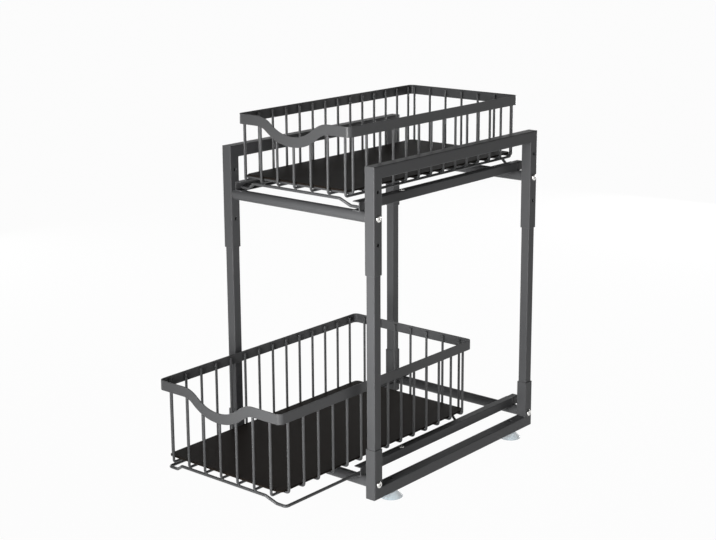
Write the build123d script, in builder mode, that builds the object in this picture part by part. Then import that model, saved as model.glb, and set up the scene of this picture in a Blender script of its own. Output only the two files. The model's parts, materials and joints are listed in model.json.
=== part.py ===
"""Two-tier pull-out cabinet basket: a steel tube frame with two wire baskets on slide rails.

Millimetres, +Z up. X runs across the frame, +Y runs to the back. The baskets pull out to -Y.
The origin is on the floor, under the middle of the whole object as it stands here: the upper
basket pushed home and the lower basket pulled out by lower_pull_out.
"""

import math
import os

from build123d import *

os.makedirs("parts", exist_ok=True)

# --- side frames: square steel tube -----------------------------------------------------------
frame_width = 300.0  # across the outer faces of the legs
frame_depth = 415.0
frame_height = 500.0  # underside of the bottom rail to the top of the top rail
tube = 18.0  # outer square tube
tube_wall = 1.2
tube_corner = 1.5  # outer corner radius of the square tubes
leg_length = 159.0  # outer leg, from the top of the top rail down to its open end
socket_height = 77.0  # top of the sockets that stand on the bottom rail

# --- telescoping posts inside the legs and sockets ---------------------------------------------
post_clearance = 0.25  # gap between a post and the bore around it, each side
post_wall = 1.0
post_above_screw = 55.0  # the post's top over the upper frame screw

# --- frame screws, cross tubes and their threaded plugs ----------------------------------------
lower_screw_height = 23.4  # above the underside of the bottom rail
upper_screw_drop = 75.2  # below the top of the top rail
hole_pitch = 38.5  # spacing of the height holes in the outer legs
screw_dia = 5.0
screw_hole_clearance = 0.25  # radial, in the legs and posts
screw_head_dia = 10.4
screw_head_height = 3.2
screw_head_round = 2.4
screw_grip = 12.0  # thread held by the plug
plug_length = 16.0
plug_bore_clearance = 0.05
cross_tube_dia = 16.4
cross_tube_wall = 1.0

# --- slide rails: channels that open towards the basket ----------------------------------------
rail_gap = 9.0  # between the leg's inner face and the rail's outer face
rail_width = 12.5
rail_height = 14.5
rail_sheet = 1.2
rail_bend = 1.6  # outer bend radius of the channel
rear_cap_length = 16.0  # moulded stop that closes the rail's back end
rear_cap_wall = 8.0
rear_stop_gap = 0.3
guide_length = 16.0  # slide pad at the rail's front end
guide_edge = 0.8  # bevel on the pad's two ends
stop_screw_y = 103.0  # from the front of the frame
stop_screw_dia = 4.0
stop_head_dia = 7.5
stop_head_height = 1.8
stop_wire_gap = 0.6  # stop screw's tip over the runner wire

# --- baskets -----------------------------------------------------------------------------------
wire = 4.0
loop_wire = 4.6  # the runner loop is of heavier wire
weld_gap = 0.05  # between two wires, or a wire and a strip, that are welded together
wire_bend = 3.0  # leg of the bevelled bend at the foot of each upright wire
rim_height = 15.5
rim_strip = 1.8
rim_corner = 8.0
rim_dip = 25.0  # depth of the hand dip in the front of the rim
rim_dip_angle = 36.0  # slope of the dip's two sides
rim_dip_flat = 2.0  # length of the dip's level bottom
crest_radius = 34.5  # bends of the strip's centreline, where the dip begins
trough_radius = 70.0  # and at its bottom
upright_top_gap = 3.0  # from the rim's top down to the end of an upright
front_wires = 7
front_wire_edge = 11.0  # from the upper rim's outer face to the outermost front upright
side_wire_pitch = 31.2  # about: the real pitch shares out the basket's depth
runner_height = 3.6  # wire centre over the rail's inner floor
runner_web_gap = 1.0  # from the runner wire to the web of its channel
runner_step_back = 6.0
runner_step_width = 16.0
runner_reach = 33.5  # from the middle of a runner in to the loop's raised end
runner_bend = 6.0
runner_step_bend = 5.0
wire_floor_over_rail = 19.2  # long wires' centre over the rail's underside
tray_thickness = 2.5
tray_side_gap = 0.9
tray_front_gap = 1.5
tray_corner = 8.0
glide_length = 20.0
glide_gap = 0.3  # between a glide and its channel
glide_bore_clearance = 0.05

upper_side_gap = 22.0  # from a basket's rim to the inner faces of the legs
upper_overlength = 8.0  # how much longer than the frame the basket is
upper_basket_height = 101.4  # rim's top over the long wires' centre
lower_side_gap = 10.0
lower_overlength = 37.0
lower_basket_height = 125.3
upper_side_wire_edge = 12.0  # from the rim's front or back face to the first side upright
lower_side_wire_edge = 20.0
lower_pull_out = 136.5  # how far the lower basket stands open here

# --- suction feet ------------------------------------------------------------------------------
foot_height = 10.0
foot_dia = 35.0
foot_inset = 49.5  # from the frame's front and back faces
foot_lip = 1.6
foot_neck_dia = 7.0
foot_hole_clearance = 0.3
foot_button_dia = 9.0
foot_button_height = 2.5
access_hole_dia = 5.5  # over each foot, in the rail's top face

# --- places that follow from the sizes above ---------------------------------------------------
post = tube - 2 * tube_wall - 2 * post_clearance
inner_face = frame_width / 2 - tube  # inner faces of the legs
leg_x = frame_width / 2 - tube / 2
z_base = foot_height  # underside of the bottom rails
cross_tube_r = cross_tube_dia / 2
rail_outer = inner_face - rail_gap
web_face = rail_outer - rail_sheet  # inner face of the channel's web
runner_x = web_face - runner_web_gap - loop_wire / 2
upper_basket_width = 2 * (inner_face - upper_side_gap)
lower_basket_width = 2 * (inner_face - lower_side_gap)
upper_basket_depth = frame_depth + upper_overlength
lower_basket_depth = frame_depth + lower_overlength
front_wire_pitch = (upper_basket_width - 2 * front_wire_edge) / (front_wires - 1)

wire_inset = rim_strip + weld_gap + wire / 2  # a rim's outer face to an upright's centre
runner_inset = wire_inset + wire_bend + runner_step_back  # rim's face to the runner's end wire
dip_slope = math.radians(rim_dip_angle)
bend_lead = math.tan(dip_slope / 2)  # a bend's start to its vertex, for a radius of 1
trough_vertex = rim_dip_flat / 2 + trough_radius * bend_lead
crest_vertex = trough_vertex + rim_dip / math.tan(dip_slope)
basket_back_closed = (
    frame_depth - rear_cap_wall - rear_stop_gap + runner_inset - loop_wire / 2
)
lower_front = basket_back_closed - lower_basket_depth - lower_pull_out
upper_front = basket_back_closed - upper_basket_depth
y_front = -(lower_front + basket_back_closed) / 2  # the frame's front plane, from the origin
leg_ys = [y_front + tube / 2, y_front + frame_depth - tube / 2]
foot_ys = [y_front + foot_inset, y_front + frame_depth - foot_inset]


def finish(part, name):
    """Label one finished piece and write it."""
    part.label = name
    export_step(part, f"parts/{name}.step")


# --- side frames -------------------------------------------------------------------------------
def tube_u(name, side, z_rail, z_end, hole_heights, foot_holes):
    """A U of square tube: one rail along Y with a mitred leg at each end."""
    x_low = side * leg_x - tube / 2
    step = 1 if z_end > z_rail else -1

    def ring(outer_inset, inner_inset):
        for inset, mode in ((outer_inset, Mode.ADD), (inner_inset, Mode.SUBTRACT)):
            z_low = z_rail + step * inset
            with Locations((y_front + frame_depth / 2, (z_low + z_end) / 2)):
                Rectangle(frame_depth - 2 * inset, abs(z_end - z_low), mode=mode)

    with BuildPart() as u_frame:
        with BuildSketch(Plane.YZ.offset(x_low)):
            ring(0, tube)
        extrude(amount=tube)
        side_edges = u_frame.faces().filter_by(Axis.X).edges()
        fillet([e for e in side_edges if abs(e.center().Z - z_end) > 1], tube_corner)
        with BuildSketch(Plane.YZ.offset(x_low + tube_wall)):
            ring(tube_wall, tube - tube_wall)
        extrude(amount=tube - 2 * tube_wall, mode=Mode.SUBTRACT)
        with BuildSketch(Plane.YZ.offset(x_low)):
            with Locations([(y, z) for y in leg_ys for z in hole_heights]):
                Circle(screw_dia / 2 + screw_hole_clearance)
        extrude(amount=tube, mode=Mode.SUBTRACT)
        if foot_holes:
            spots = [(side * leg_x, y) for y in foot_ys]
            with BuildSketch(Plane.XY.offset(z_rail)):
                with Locations(spots):
                    Circle(foot_neck_dia / 2 + foot_hole_clearance)
            extrude(amount=tube / 2, mode=Mode.SUBTRACT)
            with BuildSketch(Plane.XY.offset(z_rail + tube / 2)):
                with Locations(spots):
                    Circle(access_hole_dia / 2)
            extrude(amount=tube / 2, mode=Mode.SUBTRACT)
    finish(u_frame.part, name)


z_top = z_base + frame_height
z_lower_screw = z_base + lower_screw_height
z_upper_screw = z_top - upper_screw_drop
height_holes = [z_upper_screw + step * hole_pitch for step in (-1, 0, 1)]
sides = (("left", -1), ("right", 1))

for word, side in sides:
    tube_u(f"top_frame_{word}", side, z_top, z_top - leg_length, height_holes, False)
    tube_u(f"bottom_frame_{word}", side, z_base, z_base + socket_height, [z_lower_screw], True)

# --- posts -------------------------------------------------------------------------------------
post_foot = z_base + tube_wall
post_top = z_upper_screw + post_above_screw

for word, side in sides:
    for place, leg_y in zip(("front", "back"), leg_ys):
        with BuildPart() as leg_post:
            with BuildSketch(Plane.XY.offset(post_foot)):
                with Locations((side * leg_x, leg_y)):
                    RectangleRounded(post, post, tube_corner - post_clearance)
                    bore = post - 2 * post_wall
                    Rectangle(bore, bore, mode=Mode.SUBTRACT)
            extrude(amount=post_top - post_foot)
            with BuildSketch(Plane.YZ.offset(side * leg_x - tube / 2)):
                with Locations((leg_y, z_lower_screw), (leg_y, z_upper_screw)):
                    Circle(screw_dia / 2 + screw_hole_clearance)
                with Locations((leg_y, (z_upper_screw + post_top) / 2)):
                    Rectangle(screw_dia + 2 * screw_hole_clearance, post_above_screw)
            extrude(amount=tube, mode=Mode.SUBTRACT)
        finish(leg_post.part, f"post_{place}_{word}")


# --- cross tubes, plugs and frame screws -------------------------------------------------------
def cross_level(level, z_axis):
    """The two cross tubes of one level, their threaded end plugs and the four screws."""
    for place, leg_y in zip(("front", "back"), leg_ys):
        with BuildPart() as cross_tube:
            with BuildSketch(Plane.YZ.offset(-inner_face)):
                with Locations((leg_y, z_axis)):
                    Circle(cross_tube_r)
                    Circle(cross_tube_r - cross_tube_wall, mode=Mode.SUBTRACT)
            extrude(amount=2 * inner_face)
        finish(cross_tube.part, f"{level}_{place}_cross_tube")

    with BuildPart() as plugs:
        for x_start in (-inner_face, inner_face - plug_length):
            with BuildSketch(Plane.YZ.offset(x_start)):
                with Locations([(leg_y, z_axis) for leg_y in leg_ys]):
                    Circle(cross_tube_r - cross_tube_wall - plug_bore_clearance)
                    Circle(screw_dia / 2 + plug_bore_clearance, mode=Mode.SUBTRACT)
            extrude(amount=plug_length)
    finish(plugs.part, f"{level}_tube_plugs")

    with BuildPart() as one_screw:
        with BuildSketch(Plane.YZ.offset(-tube - screw_grip)):
            Circle(screw_dia / 2)
        extrude(amount=tube + screw_grip)
        with BuildSketch(Plane.YZ):
            Circle(screw_head_dia / 2)
        extrude(amount=screw_head_height)
        fillet(one_screw.edges().group_by(Axis.X)[-1], screw_head_round)
    with BuildPart() as screws:
        for leg_y in leg_ys:
            with Locations(Location((frame_width / 2, leg_y, z_axis))):
                add(one_screw.part)
            with Locations(Location((-frame_width / 2, leg_y, z_axis), (0, 0, 180))):
                add(one_screw.part)
    finish(screws.part, f"{level}_frame_screws")


# --- slide rails with their rear stops, front pads and stop screws -----------------------------
def rail_level(level, z_axis):
    """Rails, rear stops, front pads and stop screws that stand on one level's cross tubes."""
    z_rail = z_axis + cross_tube_r
    z_runner = z_rail + rail_sheet + runner_height
    rail_length = frame_depth - rear_cap_length
    back_plane = Plane.XZ.offset(-(y_front + frame_depth))

    for word, side in sides:
        x_out = side * rail_outer
        x_mid = x_out - side * rail_width / 2
        with BuildPart() as rail:
            with BuildSketch(Plane.XZ.offset(-y_front)):
                with Locations((x_mid, z_rail + rail_height / 2)):
                    Rectangle(rail_width, rail_height)
            extrude(amount=-rail_length)
            web_edges = rail.edges().filter_by(Axis.Y).group_by(Axis.X)[-1 if side > 0 else 0]
            fillet(web_edges, rail_bend)
            with BuildSketch(Plane.XZ.offset(-y_front)):
                with Locations((x_mid - side * rail_sheet, z_rail + rail_height / 2)):
                    Rectangle(rail_width, rail_height - 2 * rail_sheet)
            extrude(amount=-rail_length, mode=Mode.SUBTRACT)
            with BuildSketch(Plane.XY.offset(z_rail + rail_height - rail_sheet)):
                with Locations((side * runner_x, y_front + stop_screw_y)):
                    Circle(stop_screw_dia / 2 + screw_hole_clearance)
            extrude(amount=rail_sheet, mode=Mode.SUBTRACT)
        finish(rail.part, f"{level}_rail_{word}")

    with BuildPart() as rear_stops:
        for side in (-1, 1):
            x_mid = side * (rail_outer - rail_width / 2)
            with BuildSketch(back_plane):
                with Locations((x_mid, z_rail + rail_height / 2)):
                    RectangleRounded(rail_width, rail_height, rail_bend)
            extrude(amount=rear_cap_length)
            with BuildSketch(back_plane.offset(rear_cap_wall)):
                with Locations((x_mid - side * rail_sheet, z_rail + rail_height / 2)):
                    Rectangle(rail_width, rail_height - 2 * rail_sheet)
            extrude(amount=rear_cap_length - rear_cap_wall, mode=Mode.SUBTRACT)
    finish(rear_stops.part, f"{level}_rear_stops")

    pad_height = runner_height - loop_wire / 2 - glide_gap
    pad_width = rail_width - 2 * rail_sheet
    with BuildPart() as pads:
        for side in (-1, 1):
            with BuildSketch(Plane.XY.offset(z_rail + rail_sheet)):
                with Locations((side * (web_face - pad_width / 2), y_front + guide_length / 2)):
                    Rectangle(pad_width, guide_length)
            extrude(amount=pad_height)
        ends = pads.edges().filter_by(Axis.X).group_by(Axis.Z)[-1]
        chamfer(ends, guide_edge)
    finish(pads.part, f"{level}_slide_pads")

    z_roof = z_rail + rail_height
    z_tip = z_runner + loop_wire / 2 + stop_wire_gap
    with BuildPart() as stop_screws:
        spots = [(side * runner_x, y_front + stop_screw_y) for side in (-1, 1)]
        with BuildSketch(Plane.XY.offset(z_tip)):
            with Locations(spots):
                Circle(stop_screw_dia / 2)
        extrude(amount=z_roof - z_tip)
        with BuildSketch(Plane.XY.offset(z_roof)):
            with Locations(spots):
                Circle(stop_head_dia / 2)
        extrude(amount=stop_head_height)
        chamfer(stop_screws.edges().group_by(Axis.Z)[-1], stop_head_height / 3)
    finish(stop_screws.part, f"{level}_stop_screws")
    return z_rail


# --- baskets -----------------------------------------------------------------------------------
def swept_wire(points):
    """One round wire along straight runs with mitred bends."""
    with BuildPart() as one_wire:
        with BuildLine() as route:
            Polyline(*points)
        with BuildSketch(Plane(origin=points[0], z_dir=Vector(*points[1]) - Vector(*points[0]))):
            Circle(wire / 2)
        sweep(path=route.wire(), transition=Transition.RIGHT)
    return one_wire.part


def dip_drop(x):
    """How far the strip's centreline lies below its level part, at x."""
    inside = crest_vertex + crest_radius * bend_lead - abs(x)
    past = abs(x) - rim_dip_flat / 2
    if inside <= 0:
        return 0.0
    if inside < crest_radius * math.sin(dip_slope):
        return crest_radius - math.sqrt(crest_radius**2 - inside**2)
    if past <= 0:
        return rim_dip
    if past < trough_radius * math.sin(dip_slope):
        return rim_dip - trough_radius + math.sqrt(trough_radius**2 - past**2)
    return (crest_vertex - abs(x)) * math.tan(dip_slope)


def basket(name, width, depth, height, side_wire_edge, front, z_rail):
    """One wire basket: rim strip, upright wires, runner loop, tray and glides."""
    half = width / 2
    mid_y = front + depth / 2
    z_long = z_rail + wire_floor_over_rail  # centre of the wires that run front to back
    z_cross = z_long + wire + weld_gap
    z_loop = z_long - (wire + loop_wire) / 2 - weld_gap
    z_runner = z_rail + rail_sheet + runner_height
    z_rim = z_long + height
    upright_top = z_rim - upright_top_gap
    x_side = half - wire_inset
    y_near = front + wire_inset
    y_far = front + depth - wire_inset

    # Rim: a strip on edge, round the corners, with a swept dip in its front.
    inner_width = width - 2 * rim_strip
    inner_depth = depth - 2 * rim_strip
    with BuildPart() as rim:
        with BuildSketch(Plane.XY.offset(z_rim - rim_height - rim_dip)):
            with Locations((0, mid_y)):
                RectangleRounded(width, depth, rim_corner)
                RectangleRounded(
                    inner_width, inner_depth, rim_corner - rim_strip, mode=Mode.SUBTRACT
                )
        extrude(amount=rim_height + rim_dip)
        # What stands under the strip is cut away: level at the back and sides, curved in front.
        with BuildSketch(Plane.XZ.offset(-(front + rim_corner))):
            with Locations((0, z_rim - rim_height - rim_dip / 2)):
                Rectangle(width, rim_dip)
        extrude(amount=-depth, mode=Mode.SUBTRACT)
        for offset, z_away in ((rim_height / 2, 1), (-rim_height / 2, -rim_dip - 1)):
            z_edge = z_rim - rim_height / 2 + offset
            crest_x = crest_vertex - offset * bend_lead
            trough_x = trough_vertex - offset * bend_lead
            crest_bend = crest_radius + offset
            trough_bend = trough_radius - offset
            with BuildSketch(Plane.XZ.offset(-(front - 1))):
                with BuildLine():
                    dip = FilletPolyline(
                        (-half - 1, z_edge),
                        (-crest_x, z_edge),
                        (-trough_x, z_edge - rim_dip),
                        (trough_x, z_edge - rim_dip),
                        (crest_x, z_edge),
                        (half + 1, z_edge),
                        radius=[crest_bend, trough_bend, trough_bend, crest_bend],
                    )
                    z_far = z_edge + z_away
                    Polyline(dip @ 0, (-half - 1, z_far), (half + 1, z_far), dip @ 1)
                make_face()
            extrude(amount=-(rim_corner + 1), mode=Mode.SUBTRACT)
    finish(rim.part, f"{name}_rim")

    # Wires that go down the front, along the floor and up the back.
    with BuildPart() as long_wires:
        for index in range(front_wires):
            x = (index - (front_wires - 1) / 2) * front_wire_pitch
            add(
                swept_wire(
                    [
                        (x, y_near, upright_top - dip_drop(x)),
                        (x, y_near, z_long + wire_bend),
                        (x, y_near + wire_bend, z_long),
                        (x, y_far - wire_bend, z_long),
                        (x, y_far, z_long + wire_bend),
                        (x, y_far, upright_top),
                    ]
                )
            )
    finish(long_wires.part, f"{name}_long_wires")

    # Wires that go down one side, across the floor and up the other side.
    stirrup = swept_wire(
        [
            (-x_side, 0, upright_top),
            (-x_side, 0, z_cross + wire_bend),
            (-x_side + wire_bend, 0, z_cross),
            (x_side - wire_bend, 0, z_cross),
            (x_side, 0, z_cross + wire_bend),
            (x_side, 0, upright_top),
        ]
    )
    side_span = depth - 2 * side_wire_edge
    side_gaps = round(side_span / side_wire_pitch)
    with BuildPart() as side_uprights:
        with Locations((0, mid_y, 0)):
            with GridLocations(1, side_span / side_gaps, 1, side_gaps + 1):
                add(stirrup)
    finish(side_uprights.part, f"{name}_cross_wires")

    # Runner loop: level under the floor's two ends, stepped down and back into the rails.
    near = y_near + wire_bend
    far = y_far - wire_bend
    level = runner_x - runner_reach
    step = level + runner_step_width
    half_route = [
        (level, far, z_loop),
        (step, far - runner_step_back, z_runner),
        (runner_x, far - runner_step_back, z_runner),
        (runner_x, near + runner_step_back, z_runner),
        (step, near + runner_step_back, z_runner),
        (level, near, z_loop),
    ]
    other_half = [(-x, y, z) for x, y, z in reversed(half_route)]
    route = [(weld_gap, far, z_loop), *half_route, *other_half, (-weld_gap, far, z_loop)]
    bend_radii = [runner_step_bend, runner_step_bend, runner_bend]
    with BuildPart() as runner_loop:
        with BuildLine() as loop_line:
            FilletPolyline(*route, radius=(bend_radii + bend_radii[::-1]) * 2)
        with BuildSketch(Plane(origin=route[0], z_dir=(1, 0, 0))):
            Circle(loop_wire / 2)
        sweep(path=loop_line.wire())
    finish(runner_loop.part, f"{name}_runner_loop")

    # Tray: a flat sheet that lies on the floor wires.
    tray_near = y_near + wire / 2 + tray_front_gap
    tray_far = y_far - wire / 2 - tray_side_gap
    with BuildPart() as tray:
        with BuildSketch(Plane.XY.offset(z_cross + wire / 2 + weld_gap)):
            with Locations((0, (tray_near + tray_far) / 2)):
                tray_width = 2 * (x_side - wire_bend - tray_side_gap)
                RectangleRounded(tray_width, tray_far - tray_near, tray_corner)
        extrude(amount=tray_thickness)
        chamfer(tray.edges().group_by(Axis.Z)[-1], tray_thickness / 4)
    finish(tray.part, f"{name}_tray")

    # Glides: moulded blocks on the runners' back ends, which hold them in the channels.
    glide_height = rail_height - 2 * rail_sheet - 2 * glide_gap
    glide_width = rail_width - rail_sheet - 2 * glide_gap
    glide_back = far - runner_step_back - runner_bend
    glide_x = web_face - glide_gap - glide_width / 2
    with BuildPart() as glides:
        for side in (-1, 1):
            with BuildSketch(Plane.XZ.offset(-glide_back)):
                with Locations((side * glide_x, z_rail + rail_height / 2)):
                    RectangleRounded(glide_width, glide_height, rail_sheet)
                with Locations((side * runner_x, z_runner)):
                    Circle(loop_wire / 2 + glide_bore_clearance, mode=Mode.SUBTRACT)
            extrude(amount=glide_length)
    finish(glides.part, f"{name}_glides")
    return glide_back - glide_length


# --- feet --------------------------------------------------------------------------------------
def suction_feet():
    """Four clear cups: a hollow dish, a neck through the rail's wall and a button inside."""
    r = foot_dia / 2
    neck = foot_neck_dia / 2
    with BuildPart() as one_foot:
        with BuildSketch(Plane.XZ):
            with BuildLine():
                Line((0, foot_height + tube_wall + foot_button_height), (0, foot_height * 0.35))
                RadiusArc((0, foot_height * 0.35), (r - foot_lip, 0), r * 2.2)
                Line((r - foot_lip, 0), (r, 0))
                Line((r, 0), (r, foot_lip / 2))
                RadiusArc((r, foot_lip / 2), (neck + 3, foot_height), r * 1.6)
                button = foot_button_dia / 2
                Polyline(
                    (neck + 3, foot_height),
                    (neck, foot_height),
                    (neck, foot_height + tube_wall),
                    (button, foot_height + tube_wall),
                    (button - 1, foot_height + tube_wall + foot_button_height),
                    (0, foot_height + tube_wall + foot_button_height),
                )
            make_face()
        revolve(axis=Axis.Z)
    with BuildPart() as feet:
        with Locations([(x, y, 0) for x in (-leg_x, leg_x) for y in foot_ys]):
            add(one_foot.part)
    finish(feet.part, "suction_feet")


cross_level("lower", z_lower_screw)
cross_level("upper", z_upper_screw)
z_lower_rail = rail_level("lower", z_lower_screw)
z_upper_rail = rail_level("upper", z_upper_screw)
suction_feet()

lower_glide_front = basket(
    "lower_basket",
    lower_basket_width,
    lower_basket_depth,
    lower_basket_height,
    lower_side_wire_edge,
    y_front + lower_front,
    z_lower_rail,
)
upper_glide_front = basket(
    "upper_basket",
    upper_basket_width,
    upper_basket_depth,
    upper_basket_height,
    upper_side_wire_edge,
    y_front + upper_front,
    z_upper_rail,
)

stop_face = y_front + stop_screw_y + stop_screw_dia / 2 + glide_gap
print(f"lower basket slides in {lower_pull_out:.1f}, out {lower_glide_front - stop_face:.1f}")
print(f"upper basket slides out {upper_glide_front - stop_face:.1f}")
print(f"frame front y {y_front:.2f}, top frame rises {hole_pitch:.1f}")
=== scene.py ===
"""Two-tier pull-out cabinet basket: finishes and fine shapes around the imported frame.

Metres, in the frame's own axes: +Z is up and the baskets pull out to -Y. Sizes come from the
boxes of the frame's nodes wherever a node has them.
"""

import json
import math

import bmesh
import bpy
from mathutils import Matrix, Vector

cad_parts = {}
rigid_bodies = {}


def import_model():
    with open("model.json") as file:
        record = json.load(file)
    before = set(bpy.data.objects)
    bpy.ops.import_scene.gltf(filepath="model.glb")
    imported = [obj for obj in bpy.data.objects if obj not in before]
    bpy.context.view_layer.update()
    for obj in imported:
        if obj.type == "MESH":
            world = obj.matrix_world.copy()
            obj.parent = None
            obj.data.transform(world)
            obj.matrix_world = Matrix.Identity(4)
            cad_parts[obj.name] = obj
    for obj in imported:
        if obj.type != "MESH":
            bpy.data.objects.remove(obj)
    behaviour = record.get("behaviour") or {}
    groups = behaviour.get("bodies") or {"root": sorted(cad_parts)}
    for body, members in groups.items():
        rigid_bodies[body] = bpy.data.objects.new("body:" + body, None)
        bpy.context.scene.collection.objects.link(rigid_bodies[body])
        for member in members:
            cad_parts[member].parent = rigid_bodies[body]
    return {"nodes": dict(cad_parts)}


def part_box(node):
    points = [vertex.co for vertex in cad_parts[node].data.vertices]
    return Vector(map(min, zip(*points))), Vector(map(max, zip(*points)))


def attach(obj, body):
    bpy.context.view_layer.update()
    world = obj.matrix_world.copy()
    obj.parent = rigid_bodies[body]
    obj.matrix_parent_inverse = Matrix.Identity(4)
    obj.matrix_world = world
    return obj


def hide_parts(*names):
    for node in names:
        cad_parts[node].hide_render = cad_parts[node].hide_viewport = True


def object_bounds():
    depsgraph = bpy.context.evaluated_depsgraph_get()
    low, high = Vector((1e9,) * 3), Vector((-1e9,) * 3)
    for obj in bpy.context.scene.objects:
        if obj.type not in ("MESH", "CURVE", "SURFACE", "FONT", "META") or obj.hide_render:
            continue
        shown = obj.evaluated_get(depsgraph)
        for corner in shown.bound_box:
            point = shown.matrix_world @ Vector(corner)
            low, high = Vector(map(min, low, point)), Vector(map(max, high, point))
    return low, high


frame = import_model()
cad_low, cad_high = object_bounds()

MM = 0.001

# --- sizes that the boxes of the nodes don't give ----------------------------------------------
wire_dia = 4.0 * MM
loop_dia = 4.6 * MM  # the runner loop is of heavier wire
wire_bend = 4.0 * MM  # centreline radius where an upright turns under the floor
loop_bend = 5.0 * MM
front_wire_count = 7
side_wire_count = 14
loop_level_half = 85.0 * MM  # half of the loop's level run under the floor
loop_step_width = 16.0 * MM  # then it steps down and out over this width
loop_step_back = 6.0 * MM
rim_height = 15.5 * MM
rim_strip = 1.8 * MM
rim_corner = 8.0 * MM
rim_edge = 0.5 * MM  # rounding of the strip's long edges
dip_angle = math.radians(36.0)
crest_radius = 34.5 * MM
trough_radius = 70.0 * MM
trough_flat = 2.0 * MM
frame_head = (10.4 * MM, 3.2 * MM)  # a frame screw's head: across and high
frame_shank = (5.0 * MM, 30.0 * MM)
stop_head = (7.5 * MM, 1.8 * MM)
stop_shank = (4.0 * MM, 6.8 * MM)
hole_pitch = 38.5 * MM  # the height holes in the legs
hole_dia = 5.5 * MM
cup_dia = 35.0 * MM
cup_height = 10.0 * MM
tube_wall = 1.2 * MM

# --- how finely the shapes are cut -------------------------------------------------------------
sharp_corner = 0.7  # radians: an edge that turns more than this stays sharp
wire_sides = 16
wire_bend_steps = 7
screw_steps = 48
cup_steps = 64
drill_steps = 32
nugget_steps = 10
rim_corner_steps = 12
rim_front_steps = 90


# --- small helpers -----------------------------------------------------------------------------
def add(tree, kind, inputs=None, **settings):
    """Add a node. inputs maps its socket names or numbers to values or to other sockets."""
    node = tree.nodes.new(kind)
    for name, value in settings.items():
        setattr(node, name, value)
    for key, value in (inputs or {}).items():
        if isinstance(value, bpy.types.NodeSocket):
            tree.links.new(value, node.inputs[key])
        else:
            node.inputs[key].default_value = value
    return node


def new_object(name, data):
    """Put an object with this data in the scene, at the origin."""
    made = bpy.data.objects.new(name, data)
    bpy.context.scene.collection.objects.link(made)
    return made


def mesh_from(name, points, faces=(), edges=()):
    """A mesh from corner places and from faces or edges that number them."""
    mesh = bpy.data.meshes.new(name)
    mesh.from_pydata([tuple(point) for point in points], list(edges), list(faces))
    mesh.update()
    return mesh


def settle(holder, name):
    """Turn an object with modifiers into one plain mesh, and drop the object."""
    graph = bpy.context.evaluated_depsgraph_get()
    mesh = bpy.data.meshes.new_from_object(holder.evaluated_get(graph), depsgraph=graph)
    bpy.data.objects.remove(holder)
    mesh.name = name
    return mesh


def fit_out(piece, material, body, slot, *nodes):
    """Give a finished piece its finish and its body, and let it stand for CAD nodes."""
    piece.data.materials.clear()
    piece.data.materials.append(material)
    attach(piece, body)
    if nodes:
        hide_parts(*nodes)


# --- shader groups -----------------------------------------------------------------------------
def shader_group(name, inputs, outputs):
    """An empty shader group with named float inputs and typed outputs."""
    tree = bpy.data.node_groups.new(name, "ShaderNodeTree")
    for label, value in inputs.items():
        socket = tree.interface.new_socket(label, in_out="INPUT", socket_type="NodeSocketFloat")
        socket.default_value = value
    for label, kind in outputs.items():
        tree.interface.new_socket(label, in_out="OUTPUT", socket_type=kind)
    return tree, tree.nodes.new("NodeGroupInput"), tree.nodes.new("NodeGroupOutput")


def coat_grain_group():
    """Baked powder: a fine pebbled skin over a slow mottle. Puts out a height and a tone."""
    tree, given, result = shader_group(
        "coat_grain",
        {"Grain": 1400.0, "Mottle": 28.0, "Mottle Depth": 0.12},
        {"Height": "NodeSocketFloat", "Tone": "NodeSocketFloat"},
    )
    place = add(tree, "ShaderNodeTexCoord").outputs["Object"]
    pebbles = add(
        tree,
        "ShaderNodeTexVoronoi",
        {"Vector": place, "Scale": given.outputs["Grain"]},
        feature="SMOOTH_F1",
    )
    skin = add(
        tree,
        "ShaderNodeTexNoise",
        {"Vector": place, "Scale": given.outputs["Grain"], "Detail": 2.0},
    )
    height = add(
        tree,
        "ShaderNodeMath",
        {0: pebbles.outputs["Distance"], 1: skin.outputs[0]},
        operation="ADD",
    )
    slow = add(
        tree,
        "ShaderNodeTexNoise",
        {"Vector": place, "Scale": given.outputs["Mottle"], "Detail": 3.0},
    )
    centred = add(tree, "ShaderNodeMath", {0: slow.outputs[0], 1: 0.5}, operation="SUBTRACT")
    tone = add(
        tree,
        "ShaderNodeMath",
        {0: centred.outputs[0], 1: given.outputs["Mottle Depth"], 2: 1.0},
        operation="MULTIPLY_ADD",
    )
    tree.links.new(height.outputs[0], result.inputs["Height"])
    tree.links.new(tone.outputs[0], result.inputs["Tone"])
    return tree


def edge_group():
    """Where a surface turns a corner: a mask, and the normal of the corner as if rounded."""
    tree, given, result = shader_group(
        "edge_turn",
        {"Radius": 0.8 * MM, "Gain": 6.0},
        {"Mask": "NodeSocketFloat", "Normal": "NodeSocketVector"},
    )
    rounded = add(tree, "ShaderNodeBevel", {"Radius": given.outputs["Radius"]}, samples=6)
    true = add(tree, "ShaderNodeNewGeometry").outputs["Normal"]
    agree = add(
        tree,
        "ShaderNodeVectorMath",
        {0: rounded.outputs[0], 1: true},
        operation="DOT_PRODUCT",
    )
    turn = add(
        tree, "ShaderNodeMath", {0: 1.0, 1: agree.outputs["Value"]}, operation="SUBTRACT"
    )
    mask = add(
        tree,
        "ShaderNodeMath",
        {0: turn.outputs[0], 1: given.outputs["Gain"]},
        operation="MULTIPLY",
        use_clamp=True,
    )
    tree.links.new(mask.outputs[0], result.inputs["Mask"])
    tree.links.new(rounded.outputs[0], result.inputs["Normal"])
    return tree


coat_grain = coat_grain_group()
edge_turn = edge_group()


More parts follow.
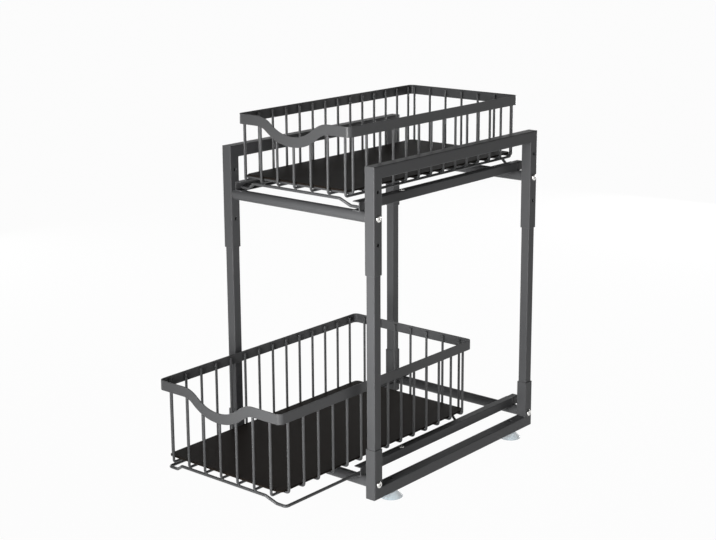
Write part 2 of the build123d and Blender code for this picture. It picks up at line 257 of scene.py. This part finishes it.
# --- finishes ----------------------------------------------------------------------------------
def blank_material(name):
    """A material with one Principled shader, wired to its output."""
    material = bpy.data.materials.new(name)
    material.use_nodes = True
    tree = material.node_tree
    tree.nodes.clear()
    output = tree.nodes.new("ShaderNodeOutputMaterial")
    shader = tree.nodes.new("ShaderNodeBsdfPrincipled")
    tree.links.new(shader.outputs[0], output.inputs["Surface"])
    return material, tree, shader


def coated(name, colour, edge_highlight_colour, grain, roughness, bump, specular=0.5, edge=0.8 * MM):
    """A coloured skin with pebbled grain, and a painted highlight that lightens its edges."""
    material, tree, shader = blank_material(name)
    skin = add(tree, "ShaderNodeGroup", {}, node_tree=coat_grain)
    skin.inputs["Grain"].default_value = grain
    turn = add(tree, "ShaderNodeGroup", {}, node_tree=edge_turn)
    turn.inputs["Radius"].default_value = edge
    # the corner mask blends in the edge colour: a painted highlight along every edge
    body = add(
        tree,
        "ShaderNodeMix",
        {0: turn.outputs["Mask"], 6: (*colour, 1), 7: (*edge_highlight_colour, 1)},
        data_type="RGBA",
    )
    toned = add(
        tree,
        "ShaderNodeVectorMath",
        {0: body.outputs[2], "Scale": skin.outputs["Tone"]},
        operation="SCALE",
    )
    tree.links.new(toned.outputs[0], shader.inputs["Base Color"])
    rough = add(
        tree,
        "ShaderNodeMath",
        {0: skin.outputs["Tone"], 1: roughness},
        operation="MULTIPLY",
    )
    tree.links.new(rough.outputs[0], shader.inputs["Roughness"])
    relief = add(
        tree,
        "ShaderNodeBump",
        {"Height": skin.outputs["Height"], "Normal": turn.outputs["Normal"]},
    )
    relief.inputs["Strength"].default_value = bump
    relief.inputs["Distance"].default_value = 0.15 * MM
    tree.links.new(relief.outputs[0], shader.inputs["Normal"])
    shader.inputs["Specular IOR Level"].default_value = specular
    return material


def zinc(name, colour, roughness):
    """Bright zinc plate with a faint cloudy bloom."""
    material, tree, shader = blank_material(name)
    skin = add(tree, "ShaderNodeGroup", {}, node_tree=coat_grain)
    skin.inputs["Grain"].default_value = 2600.0
    skin.inputs["Mottle"].default_value = 320.0
    skin.inputs["Mottle Depth"].default_value = 0.35
    turn = add(tree, "ShaderNodeGroup", {}, node_tree=edge_turn)
    turn.inputs["Radius"].default_value = 0.3 * MM
    toned = add(
        tree,
        "ShaderNodeVectorMath",
        {0: colour, "Scale": skin.outputs["Tone"]},
        operation="SCALE",
    )
    tree.links.new(toned.outputs[0], shader.inputs["Base Color"])
    rough = add(
        tree,
        "ShaderNodeMath",
        {0: skin.outputs["Tone"], 1: roughness},
        operation="MULTIPLY",
    )
    tree.links.new(rough.outputs[0], shader.inputs["Roughness"])
    relief = add(
        tree,
        "ShaderNodeBump",
        {"Height": skin.outputs["Height"], "Normal": turn.outputs["Normal"]},
    )
    relief.inputs["Strength"].default_value = 0.05
    relief.inputs["Distance"].default_value = 0.1 * MM
    tree.links.new(relief.outputs[0], shader.inputs["Normal"])
    shader.inputs["Metallic"].default_value = 1.0
    return material


def clear_vinyl():
    """Soft clear vinyl with a pale blue tint and a faintly uneven face."""
    material, tree, shader = blank_material("clear_vinyl_blue")
    skin = add(tree, "ShaderNodeGroup", {}, node_tree=coat_grain)
    skin.inputs["Grain"].default_value = 260.0
    skin.inputs["Mottle"].default_value = 60.0
    relief = add(tree, "ShaderNodeBump", {"Height": skin.outputs["Height"]})
    relief.inputs["Strength"].default_value = 0.08
    relief.inputs["Distance"].default_value = 0.2 * MM
    tree.links.new(relief.outputs[0], shader.inputs["Normal"])
    tint = add(
        tree,
        "ShaderNodeVectorMath",
        {0: (0.62, 0.82, 0.93), "Scale": skin.outputs["Tone"]},
        operation="SCALE",
    )
    tree.links.new(tint.outputs[0], shader.inputs["Base Color"])
    shader.inputs["Roughness"].default_value = 0.15
    shader.inputs["Alpha"].default_value = 0.42
    return material


# The second colour of each finish is its painted highlight along the edges.
powder_coat = coated(
    "charcoal_powder_coat",
    (0.105, 0.106, 0.109),
    (0.21, 0.21, 0.215),
    1100.0,
    0.38,
    0.16,
    specular=0.22,
)
wire_coat = coated(
    "charcoal_wire_coat",
    (0.092, 0.093, 0.095),
    (0.19, 0.19, 0.195),
    1500.0,
    0.32,
    0.10,
    specular=0.30,
    edge=0.5 * MM,
)
tray_plastic = coated(
    "dark_tray_plastic",
    (0.017, 0.0125, 0.0095),
    (0.034, 0.027, 0.022),
    900.0,
    0.50,
    0.30,
    specular=0.08,
    edge=0.5 * MM,
)
black_nylon = coated(
    "black_nylon",
    (0.012, 0.012, 0.013),
    (0.05, 0.05, 0.052),
    700.0,
    0.50,
    0.25,
    specular=0.4,
    edge=0.5 * MM,
)
zinc_screw = zinc("bright_zinc_screw", (0.80, 0.79, 0.77), 0.26)
zinc_plug = zinc("dull_zinc_plug", (0.55, 0.54, 0.52), 0.42)
vinyl = clear_vinyl()
slot_finish = {
    "powder_coat": powder_coat,
    "wire_coat": wire_coat,
    "tray_plastic": tray_plastic,
    "black_nylon": black_nylon,
    "zinc_screw": zinc_screw,
    "zinc_plug": zinc_plug,
    "clear_vinyl": vinyl,
}


# --- geometry trees ----------------------------------------------------------------------------
def geometry_tree(name, inputs):
    """An empty Geometry Nodes tree with a geometry input and output and named inputs."""
    tree = bpy.data.node_groups.new(name, "GeometryNodeTree")
    tree.interface.new_socket("Geometry", in_out="INPUT", socket_type="NodeSocketGeometry")
    for label, (kind, value) in inputs.items():
        socket = tree.interface.new_socket(label, in_out="INPUT", socket_type=kind)
        if value is not None:
            socket.default_value = value
    tree.interface.new_socket("Geometry", in_out="OUTPUT", socket_type="NodeSocketGeometry")
    return tree, tree.nodes.new("NodeGroupInput"), tree.nodes.new("NodeGroupOutput")


def close_tree(tree, given, result, geometry):
    """Realize what is instanced, keep its sharp corners sharp, and set the finish."""
    real = add(tree, "GeometryNodeRealizeInstances", {0: geometry})
    smooth = add(tree, "GeometryNodeSetShadeSmooth", {0: real.outputs[0]}, domain="FACE")
    angle = add(tree, "GeometryNodeInputMeshEdgeAngle")
    corner = add(
        tree,
        "FunctionNodeCompare",
        {0: angle.outputs[0], 1: sharp_corner},
        operation="GREATER_THAN",
    )
    crisp = add(
        tree,
        "GeometryNodeSetShadeSmooth",
        {0: smooth.outputs[0], 1: corner.outputs[0], 2: False},
        domain="EDGE",
    )
    finish = add(
        tree, "GeometryNodeSetMaterial", {0: crisp.outputs[0], 2: given.outputs["Material"]}
    )
    tree.links.new(finish.outputs[0], result.inputs[0])


def wire_row_tree():
    """A row of equal sets of bent wires: chains of edges, repeated, corners rounded, swept."""
    tree, given, result = geometry_tree(
        "wire_row",
        {
            "Count": ("NodeSocketInt", 1),
            "Step": ("NodeSocketVector", None),
            "Wire Radius": ("NodeSocketFloat", wire_dia / 2),
            "Bend Radius": ("NodeSocketFloat", wire_bend),
            "Material": ("NodeSocketMaterial", None),
        },
    )
    spots = add(
        tree,
        "GeometryNodeMeshLine",
        {"Count": given.outputs["Count"], "Offset": given.outputs["Step"]},
        mode="OFFSET",
    )
    chains = add(tree, "GeometryNodeMeshToCurve", {0: given.outputs["Geometry"]})
    repeated = add(
        tree,
        "GeometryNodeInstanceOnPoints",
        {"Points": spots.outputs[0], "Instance": chains.outputs[0]},
    )
    row = add(tree, "GeometryNodeRealizeInstances", {0: repeated.outputs[0]})
    bent = add(
        tree,
        "GeometryNodeFilletCurve",
        {0: row.outputs[0], "Radius": given.outputs["Bend Radius"], "Limit Radius": True},
        mode="POLY",
    )
    bent.inputs["Count"].default_value = wire_bend_steps
    section = add(
        tree, "GeometryNodeCurvePrimitiveCircle", {"Radius": given.outputs["Wire Radius"]}
    )
    section.inputs["Resolution"].default_value = wire_sides
    swept = add(
        tree,
        "GeometryNodeCurveToMesh",
        {0: bent.outputs[0], "Profile Curve": section.outputs[0], "Fill Caps": True},
    )
    close_tree(tree, given, result, swept.outputs[0])
    return tree


def copies_tree():
    """Copies of one small part on points, each turned to its point's facing and turn."""
    tree, given, result = geometry_tree(
        "placed_copies",
        {
            "Part": ("NodeSocketObject", None),
            "Material": ("NodeSocketMaterial", None),
        },
    )
    part = add(tree, "GeometryNodeObjectInfo", {"Object": given.outputs["Part"]})
    facing = add(
        tree, "GeometryNodeInputNamedAttribute", {"Name": "facing"}, data_type="FLOAT_VECTOR"
    )
    turn = add(tree, "GeometryNodeInputNamedAttribute", {"Name": "turn"}, data_type="FLOAT")
    spin = add(
        tree,
        "FunctionNodeAxisAngleToRotation",
        {"Axis": (0.0, 0.0, 1.0), "Angle": turn.outputs[0]},
    )
    aligned = add(
        tree,
        "FunctionNodeAlignRotationToVector",
        {"Rotation": spin.outputs[0], "Vector": facing.outputs[0]},
        axis="Z",
    )
    placed = add(
        tree,
        "GeometryNodeInstanceOnPoints",
        {
            "Points": given.outputs["Geometry"],
            "Instance": part.outputs["Geometry"],
            "Rotation": aligned.outputs[0],
        },
    )
    close_tree(tree, given, result, placed.outputs[0])
    return tree


wire_row = wire_row_tree()
placed_copies = copies_tree()


def grow(name, source, tree, **values):
    """Run a tree on a source mesh and keep what it makes as one plain mesh object."""
    holder = new_object(name + "_source", source)
    modifier = holder.modifiers.new("shape", "NODES")
    modifier.node_group = tree
    for item in tree.interface.items_tree:
        key = item.name.lower().replace(" ", "_")
        if item.in_out == "INPUT" and key in values:
            modifier[item.identifier] = values[key]
    return new_object(name, settle(holder, name))


def wires(name, chains, **values):
    """Bent wires along chains of corners, each chain repeated by the row's count and step."""
    points, edges = [], []
    for chain in chains:
        edges += [(i, i + 1) for i in range(len(points), len(points) + len(chain) - 1)]
        points += chain
    return grow(name, mesh_from(name, points, edges=edges), wire_row, **values)


def copies(name, part, spots, material):
    """One mesh of copies of a part. spots: (place, facing, turn) of each copy."""
    source = mesh_from(name, [spot[0] for spot in spots])
    facing = source.attributes.new("facing", "FLOAT_VECTOR", "POINT")
    for index, spot in enumerate(spots):
        facing.data[index].vector = spot[1]
    turn = source.attributes.new("turn", "FLOAT", "POINT")
    for index, spot in enumerate(spots):
        turn.data[index].value = spot[2]
    return grow(name, source, placed_copies, part=part, material=material)


# --- parts that are copied ---------------------------------------------------------------------
def lathe(name, profile, steps):
    """A closed solid of revolution about Z from (radius, height) points."""
    points, faces, rings = [], [], []
    for radius, height in profile:
        if radius < 1e-7:
            rings.append([len(points)] * steps)
            points.append((0, 0, height))
            continue
        rings.append(list(range(len(points), len(points) + steps)))
        for step in range(steps):
            angle = 2 * math.pi * step / steps
            points.append((radius * math.cos(angle), radius * math.sin(angle), height))
    for low, high in zip(rings, rings[1:]):
        for step in range(steps):
            after = (step + 1) % steps
            corners = [low[step], low[after], high[after], high[step]]
            faces.append(list(dict.fromkeys(corners)))
    return mesh_from(name, points, faces)


def pan_screw(name, head, shank):
    """A pan-head screw that stands on z = 0, with a cross recess in its head."""
    r, h = head[0] / 2, head[1]
    s, end = shank[0] / 2, -shank[1]
    shoulder = 0.28 * h
    fullness = 0.62  # under 1 makes the dome squarer than a ball
    dome = [
        (
            r * math.cos(math.radians(a)) ** fullness,
            shoulder + (h - shoulder) * math.sin(math.radians(a)),
        )
        for a in range(0, 90, 9)
    ]
    profile = [(0, end), (0.8 * s, end), (s, end + 0.2 * s), (s, 0)]
    profile += [(r - 0.08 * h, 0), (r, 0.08 * h)] + dome + [(0, h)]
    whole = new_object(name, lathe(name, profile, screw_steps))
    depth, long_half, thin_half = 0.66 * h, 0.58 * r, 0.13 * r
    foot_share, mouth_share = 0.42, 1.08  # the blades taper from the mouth to the foot
    cutter = bmesh.new()
    for across in (False, True):
        ring = []
        for z, share in ((h - depth, foot_share), (h + 0.12 * h, mouth_share)):
            for sx, sy in ((-1, -1), (1, -1), (1, 1), (-1, 1)):
                x, y = sx * long_half * share, sy * thin_half * (0.55 + 0.45 * share)
                ring.append(cutter.verts.new((y, x, z) if across else (x, y, z)))
        sides = [(i, (i + 1) % 4, (i + 1) % 4 + 4, i + 4) for i in range(4)]
        for corners in [(3, 2, 1, 0), (4, 5, 6, 7), *sides]:
            cutter.faces.new([ring[corner] for corner in corners])
    bmesh.ops.recalc_face_normals(cutter, faces=cutter.faces)
    blades = bpy.data.meshes.new("recess")
    cutter.to_mesh(blades)
    cutter.free()
    recess = new_object("recess", blades)
    bite = whole.modifiers.new("recess", "BOOLEAN")
    bite.object = recess
    bite.solver = "EXACT"
    bite.use_self = True
    mesh = settle(whole, name)
    bpy.data.objects.remove(recess)
    return new_object(name, mesh)


def suction_cup():
    """A clear cup that stands on z = 0: thin flared lip, domed back, neck and button."""
    r, top, hollow = cup_dia / 2, cup_height, 3.4 * MM
    under = [(0, hollow)] + [
        (r * 0.92 * math.sin(math.radians(a)), hollow * math.cos(math.radians(a)))
        for a in range(10, 90, 8)
    ]
    lip = [(r - 0.9 * MM, 0.0), (r - 0.3 * MM, 0.05 * MM), (r, 0.45 * MM)]
    shoulder, edge = 6.5 * MM, r - 0.4 * MM
    back_steps, back_flare = 12, 1.25  # a flare over 1 keeps the lip's back low
    back = [
        (
            edge + (shoulder - edge) * t / back_steps,
            0.9 * MM + (top - 1.6 * MM) * math.sin(math.pi / 2 * t / back_steps) ** back_flare,
        )
        for t in range(back_steps + 1)
    ]
    neck, button, z = 3.5 * MM, 4.5 * MM, top + tube_wall
    collar = [(shoulder - 0.3 * MM, top), (neck, top), (neck, z), (button, z)]
    knob = [(button, z + 0.6 * MM), (0.8 * button, z + 2.3 * MM), (0.5 * button, z + 2.5 * MM)]
    profile = under + lip + back + collar + knob + [(0, z + 2.5 * MM)]
    return new_object("suction_cup", lathe("suction_cup", profile, cup_steps))


def weld_bead():
    """A short rippled fillet bead along X, round-backed, its middle on the origin."""
    length, radius, steps, sides = 11.0 * MM, 1.5 * MM, 30, 10
    ripple, ripple_pace = 0.10, 2.1
    points, faces = [], []
    for i in range(steps + 1):
        t = i / steps
        swell = math.sin(math.pi * min(1.0, max(0.0, 0.04 + 0.92 * t))) ** 0.35
        r = radius * swell * (1 + ripple * math.sin(i * ripple_pace))
        for j in range(sides):
            a = 2 * math.pi * j / sides
            points.append((length * (t - 0.5), r * math.cos(a), r * math.sin(a)))
    for i in range(steps):
        for j in range(sides):
            k = (j + 1) % sides
            faces.append([i * sides + j, i * sides + k, (i + 1) * sides + k, (i + 1) * sides + j])
    faces.append(list(range(sides))[::-1])
    faces.append([steps * sides + j for j in range(sides)])
    return new_object("weld_bead", mesh_from("weld_bead", points, faces))


def spot_weld():
    """A small flattened nugget where two crossing wires are melted together."""
    half, waist, rim = 1.5 * MM, 1.9 * MM, 1.3 * MM
    profile = [(0, -half), (rim, -0.8 * half), (waist, 0), (rim, 0.8 * half), (0, half)]
    return new_object("spot_weld", lathe("spot_weld", profile, nugget_steps))


# --- frame dressing ----------------------------------------------------------------------------
def finish_cad_nodes():
    """Give every node of the frame the finish that its material slot asks for."""
    for node in frame["nodes"].values():
        for index, holder in enumerate(node.material_slots):
            slot = holder.material.name.split(".")[0]
            node.material_slots[index].material = slot_finish[slot]


def frame_screws(level, body, screw):
    """Four pan-head screws through the legs of one level."""
    low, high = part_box(f"{level}_frame_screws")
    r, head_height = frame_head[0] / 2, frame_head[1]
    z = (low.z + high.z) / 2
    first_turn, turn_more = 0.5, 2.3  # no two recesses stop at the same angle
    spots = []
    for side, x in ((-1, low.x + head_height), (1, high.x - head_height)):
        for y in (low.y + r, high.y - r):
            spots.append(((x, y, z), (side, 0, 0), first_turn + turn_more * len(spots)))
    piece = copies(f"{level}_frame_screw_heads", screw, spots, zinc_screw)
    fit_out(piece, zinc_screw, body, "zinc_screw", f"{level}_frame_screws")


def stop_screws(level, body, screw):
    """Two small screws down through the rails, one each side."""
    low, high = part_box(f"{level}_stop_screws")
    r = stop_head[0] / 2
    y = (low.y + high.y) / 2
    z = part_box(f"{level}_rail_left")[1].z
    turn, turn_by_place = 0.7, 9  # the two recesses stop at different angles
    xs = (low.x + r, high.x - r)
    spots = [((x, y, z), (0, 0, 1), turn + x * turn_by_place) for x in xs]
    piece = copies(f"{level}_rail_stop_screws", screw, spots, zinc_screw)
    fit_out(piece, zinc_screw, body, "zinc_screw", f"{level}_stop_screws")


def post_holes():
    """Each post again, with the hole that the leg's lowest height hole looks into."""
    screw_low, screw_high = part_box("upper_frame_screws")
    z = (screw_low.z + screw_high.z) / 2 - hole_pitch
    r, drill_length, drill_lead = hole_dia / 2, 30 * MM, 5 * MM  # it starts outside the post
    for side in ("left", "right"):
        for place in ("front", "back"):
            node = f"post_{place}_{side}"
            low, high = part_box(node)
            profile = [(0, 0), (r, 0), (r, drill_length), (0, drill_length)]
            drill = lathe("drill", profile, drill_steps)
            start = Matrix.Translation((low.x - drill_lead, (low.y + high.y) / 2, z))
            drill.transform(start @ Matrix.Rotation(math.pi / 2, 4, "Y"))
            cutter = new_object("drill", drill)
            shape = frame["nodes"][node].data.copy()
            whole = bmesh.new()
            whole.from_mesh(shape)
            bmesh.ops.remove_doubles(whole, verts=whole.verts, dist=0.001 * MM)
            whole.to_mesh(shape)
            whole.free()
            holder = new_object(node + "_blank", shape)
            cut = holder.modifiers.new("hole", "BOOLEAN")
            cut.object = cutter
            cut.solver = "EXACT"
            mesh = settle(holder, node + "_drilled")
            bpy.data.objects.remove(cutter)
            piece = new_object(node + "_drilled", mesh)
            fit_out(piece, powder_coat, "root", "powder_coat", node)


def rail_welds(level, body, bead):
    """Fillet welds where each rail lies across a cross tube."""
    off_middle, sink = 3.6 * MM, 0.9 * MM  # beside and below the line along the tube's top
    spots = []
    for side in ("left", "right"):
        rail_low, rail_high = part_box(f"{level}_rail_{side}")
        x = (rail_low.x + rail_high.x) / 2
        for place in ("front", "back"):
            tube_low, tube_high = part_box(f"{level}_{place}_cross_tube")
            y = (tube_low.y + tube_high.y) / 2
            for reach in (-off_middle, off_middle):
                if rail_low.y < y + reach < rail_high.y:
                    spots.append(((x, y + reach, tube_high.z - sink), (0, 0, 1), 0.0))
    piece = copies(f"{level}_rail_welds", bead, spots, powder_coat)
    fit_out(piece, powder_coat, body, "powder_coat")


def feet(cup):
    """Four suction cups under the corners of the bottom frames."""
    low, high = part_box("suction_feet")
    r = cup_dia / 2
    spots = [
        ((x, y, low.z), (0, 0, 1), 0.0)
        for x in (low.x + r, high.x - r)
        for y in (low.y + r, high.y - r)
    ]
    piece = copies("clear_suction_cups", cup, spots, vinyl)
    fit_out(piece, vinyl, "root", "clear_vinyl", "suction_feet")


# --- baskets -----------------------------------------------------------------------------------
def dip_drop(x, depth):
    """How far the strip's centreline lies under its level at x: crest, slope, trough."""
    slope, lean = math.tan(dip_angle), math.tan(dip_angle / 2)
    crest_start = trough_flat / 2 + (trough_radius + crest_radius) * lean + depth / slope
    inside = crest_start - abs(x)
    past = abs(x) - trough_flat / 2
    if inside <= 0:
        return 0.0
    if inside < crest_radius * math.sin(dip_angle):
        return crest_radius - math.sqrt(crest_radius**2 - inside**2)
    if past <= 0:
        return depth
    if past < trough_radius * math.sin(dip_angle):
        return depth - trough_radius + math.sqrt(trough_radius**2 - past**2)
    return (inside - crest_radius * lean) * slope


def strip_section():
    """The strip's section, (outwards, upwards) from its centre, with rounded long edges."""
    half_thick, half_high = rim_strip / 2 - rim_edge, rim_height / 2 - rim_edge
    section = []
    for quarter, (sx, sy) in enumerate(((1, 1), (-1, 1), (-1, -1), (1, -1))):
        for step in range(5):
            a = math.radians(90 * quarter + 22.5 * step)
            section.append(
                (sx * half_thick + rim_edge * math.cos(a), sy * half_high + rim_edge * math.sin(a))
            )
    return section


def rim_piece(name, body):
    """The rim: a strip on edge, round four corners, dipped in front. Returns the dip's depth."""
    low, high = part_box(f"{name}_rim")
    depth = high.z - low.z - rim_height
    half = rim_strip / 2
    x_in, x_out = low.x + rim_corner, high.x - rim_corner
    y_in, y_out = low.y + rim_corner, high.y - rim_corner
    z_mid = high.z - rim_height / 2
    stations = []  # place on the strip's centreline, outward direction
    corners = ((x_out, y_in, -90), (x_out, y_out, 0), (x_in, y_out, 90), (x_in, y_in, 180))
    for x, y, start in corners:
        for step in range(rim_corner_steps + 1):
            a = math.radians(start + 90 * step / rim_corner_steps)
            out = Vector((math.cos(a), math.sin(a), 0))
            stations.append((Vector((x, y, z_mid)) + out * (rim_corner - half), out))
    for step in range(1, rim_front_steps):
        x = x_in + (x_out - x_in) * step / rim_front_steps
        place = Vector((x, low.y + half, z_mid - dip_drop(x, depth)))
        stations.append((place, Vector((0, -1, 0))))
    section = strip_section()
    count, around = len(stations), len(section)
    points, faces = [], []
    for index, (place, out) in enumerate(stations):
        ahead, behind = stations[(index + 1) % count][0], stations[index - 1][0]
        along = (ahead - behind).normalized()
        up = along.cross(out).normalized()
        if up.z < 0:
            up = -up
        points += [place + out * a + up * b for a, b in section]
    for i in range(count):
        for j in range(around):
            k, n = (j + 1) % around, (i + 1) % count
            faces.append([i * around + j, n * around + j, n * around + k, i * around + k])
    holder = new_object(f"{name}_strip", mesh_from(f"{name}_strip", points, faces))
    for polygon in holder.data.polygons:
        polygon.use_smooth = True
    holder.modifiers.new("flat_faces_flat", "WEIGHTED_NORMAL")
    piece = new_object(f"{name}_rim_strip", settle(holder, f"{name}_rim_strip"))
    fit_out(piece, wire_coat, body, "wire_coat", f"{name}_rim")
    return depth


def basket(name, nugget):
    """One basket: rim strip, both rows of bent wires, runner loop and spot welds."""
    body = name  # each basket is a body of its own, of the same name
    depth = rim_piece(name, body)
    r = wire_dia / 2
    low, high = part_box(f"{name}_long_wires")
    y_near, y_far, z_floor, z_top = low.y + r, high.y - r, low.z + r, high.z
    x_first = low.x + r
    pitch = (high.x - low.x - wire_dia) / (front_wire_count - 1)
    front_xs = [x_first + i * pitch for i in range(front_wire_count)]
    chains = [
        [
            (x, y_near, z_top - dip_drop(x, depth)),
            (x, y_near, z_floor),
            (x, y_far, z_floor),
            (x, y_far, z_top),
        ]
        for x in front_xs
    ]
    piece = wires(f"{name}_front_to_back_wires", chains, material=wire_coat)
    fit_out(piece, wire_coat, body, "wire_coat", f"{name}_long_wires")

    low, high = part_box(f"{name}_cross_wires")
    x_left, x_right, z_cross = low.x + r, high.x - r, low.z + r
    y_first = low.y + r
    side_pitch = (high.y - low.y - wire_dia) / (side_wire_count - 1)
    stirrup = [
        (x_left, y_first, high.z),
        (x_left, y_first, z_cross),
        (x_right, y_first, z_cross),
        (x_right, y_first, high.z),
    ]
    piece = wires(
        f"{name}_side_to_side_wires",
        [stirrup],
        count=side_wire_count,
        step=(0, side_pitch, 0),
        material=wire_coat,
    )
    fit_out(piece, wire_coat, body, "wire_coat", f"{name}_cross_wires")

    r = loop_dia / 2
    low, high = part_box(f"{name}_runner_loop")
    x_runner, y_start, y_end = high.x - r, low.y + r, high.y - r
    z_low, z_high = low.z + r, high.z - r
    x_step = loop_level_half + loop_step_width
    half_way = [
        (loop_level_half, y_end, z_high),
        (x_step, y_end - loop_step_back, z_low),
        (x_runner, y_end - loop_step_back, z_low),
        (x_runner, y_start + loop_step_back, z_low),
        (x_step, y_start + loop_step_back, z_low),
        (loop_level_half, y_start, z_high),
    ]
    other = [(-x, y, z) for x, y, z in reversed(half_way)]
    seam = 0.02 * MM  # half of the gap where the closed wire's two ends meet, behind
    piece = wires(
        f"{name}_runner_wire",
        [[(seam, y_end, z_high), *half_way, *other, (-seam, y_end, z_high)]],
        wire_radius=loop_dia / 2,
        bend_radius=loop_bend,
        material=wire_coat,
    )
    fit_out(piece, wire_coat, body, "wire_coat", f"{name}_runner_loop")

    upright = (0, 0, 1)
    z_weld = (z_floor + z_cross) / 2
    z_loop_weld = (z_floor + z_high) / 2
    spots = []
    for x in front_xs:
        for j in range(side_wire_count):
            spots.append(((x, y_first + j * side_pitch, z_weld), upright, 0.0))
        if abs(x) < loop_level_half:
            spots += [((x, y, z_loop_weld), upright, 0.0) for y in (y_start, y_end)]
    piece = copies(f"{name}_spot_welds", nugget, spots, wire_coat)
    fit_out(piece, wire_coat, body, "wire_coat")


# --- stage -------------------------------------------------------------------------------------
def ray_is_pale(tree):
    """1 for the rays that see the pale background: from the camera, in gloss and through glass."""
    path = add(tree, "ShaderNodeLightPath")
    seen = add(
        tree,
        "ShaderNodeMath",
        {0: path.outputs["Is Camera Ray"], 1: path.outputs["Is Glossy Ray"]},
        operation="MAXIMUM",
    )
    return add(
        tree,
        "ShaderNodeMath",
        {0: seen.outputs[0], 1: path.outputs["Is Transmission Ray"]},
        operation="MAXIMUM",
    ).outputs[0]


def studio(ambient, floor_glow, wall_top):
    """A pale floor and pale walls under a dim ceiling. wall_top: sines where the wall fades."""
    world = bpy.data.worlds.new("pale_studio")
    bpy.context.scene.world = world
    world.use_nodes = True
    tree = world.node_tree
    tree.nodes.clear()
    dim = add(tree, "ShaderNodeBackground", {"Color": (1, 1, 1, 1), "Strength": ambient})
    pale = add(tree, "ShaderNodeBackground", {"Color": (1, 1, 1, 1), "Strength": 1.0})
    direction = add(tree, "ShaderNodeTexCoord").outputs["Generated"]
    height = add(tree, "ShaderNodeSeparateXYZ", {0: direction}).outputs["Z"]
    wall = add(
        tree,
        "ShaderNodeMapRange",
        {
            "Value": height,
            "From Min": wall_top[0],
            "From Max": wall_top[1],
            "To Min": 1.0,
            "To Max": 0.0,
        },
        interpolation_type="SMOOTHSTEP",
    )
    share = add(
        tree, "ShaderNodeMath", {0: ray_is_pale(tree), 1: wall.outputs[0]}, operation="MULTIPLY"
    )
    mixed = add(
        tree, "ShaderNodeMixShader", {0: share.outputs[0], 1: dim.outputs[0], 2: pale.outputs[0]}
    )
    output = add(tree, "ShaderNodeOutputWorld")
    tree.links.new(mixed.outputs[0], output.inputs[0])

    material = bpy.data.materials.new("pale_floor")
    material.use_nodes = True
    tree = material.node_tree
    tree.nodes.clear()
    matt = add(tree, "ShaderNodeBsdfDiffuse", {"Color": (0.86, 0.86, 0.86, 1)})
    glow = add(tree, "ShaderNodeEmission", {"Color": (1, 1, 1, 1), "Strength": 1.0})
    share = add(tree, "ShaderNodeMath", {0: ray_is_pale(tree), 1: floor_glow}, operation="MULTIPLY")
    mixed = add(
        tree, "ShaderNodeMixShader", {0: share.outputs[0], 1: matt.outputs[0], 2: glow.outputs[0]}
    )
    output = add(tree, "ShaderNodeOutputMaterial")
    tree.links.new(mixed.outputs[0], output.inputs["Surface"])
    reach, level = 20.0, -0.1 * MM
    turns = ((-1, -1), (1, -1), (1, 1), (-1, 1))
    corners = [(x * reach, y * reach, level) for x, y in turns]
    floor = new_object("floor", mesh_from("floor", corners, [(0, 1, 2, 3)]))
    floor.data.materials.append(material)


def softbox(name, azimuth, elevation, distance, size, level, aim=(0, 0, 0), spread=180):
    """A soft light, size wide and high. level 1 lights a white face in its beam to white."""
    centre = (cad_low + cad_high) / 2
    a, e = math.radians(azimuth), math.radians(elevation)
    out = Vector((math.sin(a) * math.cos(e), -math.cos(a) * math.cos(e), math.sin(e)))
    lamp = bpy.data.lights.new(name, "AREA")
    lamp.shape = "RECTANGLE"
    lamp.size, lamp.size_y = size
    lamp.spread = math.radians(spread)
    lamp.energy = level * (math.pi * distance) ** 2
    holder = new_object(name, lamp)
    holder.location = centre + out * distance
    holder.rotation_mode = "QUATERNION"
    away = holder.location - centre - Vector(aim)
    holder.rotation_quaternion = away.to_track_quat("Z", "Y")


def camera():
    """The photograph's view, from the fit of the frame's corners in it."""
    azimuth, elevation, roll = math.radians(39.990), math.radians(12.976), math.radians(-0.320)
    back = Vector(
        (
            math.sin(azimuth) * math.cos(elevation),
            -math.cos(azimuth) * math.cos(elevation),
            math.sin(elevation),
        )
    )
    right = (-back).cross(Vector((0, 0, 1))).normalized()
    up = back.cross(right)
    turned_right = right * math.cos(roll) + up * math.sin(roll)
    turned_up = up * math.cos(roll) - right * math.sin(roll)
    lens = bpy.data.cameras.new("camera")
    lens.lens = 74.15
    lens.sensor_width = 36.0
    lens.shift_y = -0.0559  # the photograph is cropped from a taller picture
    holder = new_object("camera", lens)
    axes = Matrix((turned_right, turned_up, back)).transposed()
    holder.matrix_world = Matrix.Translation((1.4359, -1.6916, 0.8880)) @ axes.to_4x4()
    bpy.context.scene.camera = holder


# --- build -------------------------------------------------------------------------------------
bpy.context.scene.view_settings.view_transform = "Standard"
for leftover in list(bpy.data.objects):
    if leftover.type in ("LIGHT", "CAMERA") or leftover.name == "Cube":
        bpy.data.objects.remove(leftover)

finish_cad_nodes()
frame_screw = pan_screw("frame_screw", frame_head, frame_shank)
stop_screw = pan_screw("stop_screw", stop_head, stop_shank)
cup = suction_cup()
bead = weld_bead()
nugget = spot_weld()
for level, body in (("lower", "root"), ("upper", "upper_frame")):
    frame_screws(level, body, frame_screw)
    stop_screws(level, body, stop_screw)
    rail_welds(level, body, bead)
post_holes()
feet(cup)
for name in ("lower_basket", "upper_basket"):
    basket(name, nugget)
for template in (frame_screw, stop_screw, cup, bead, nugget):
    bpy.data.objects.remove(template)

studio(0.07, 0.97, (0.12, 0.42))
softbox("key", 14, 5, 1.15, (0.35, 0.75), 0.215, aim=(0.18, -0.1, 0.05), spread=62)
softbox("back_fill", 189, 3, 2.2, (0.7, 0.6), 0.4)
softbox("left_fill", -95, 5, 1.8, (1.0, 0.7), 0.3)
camera()
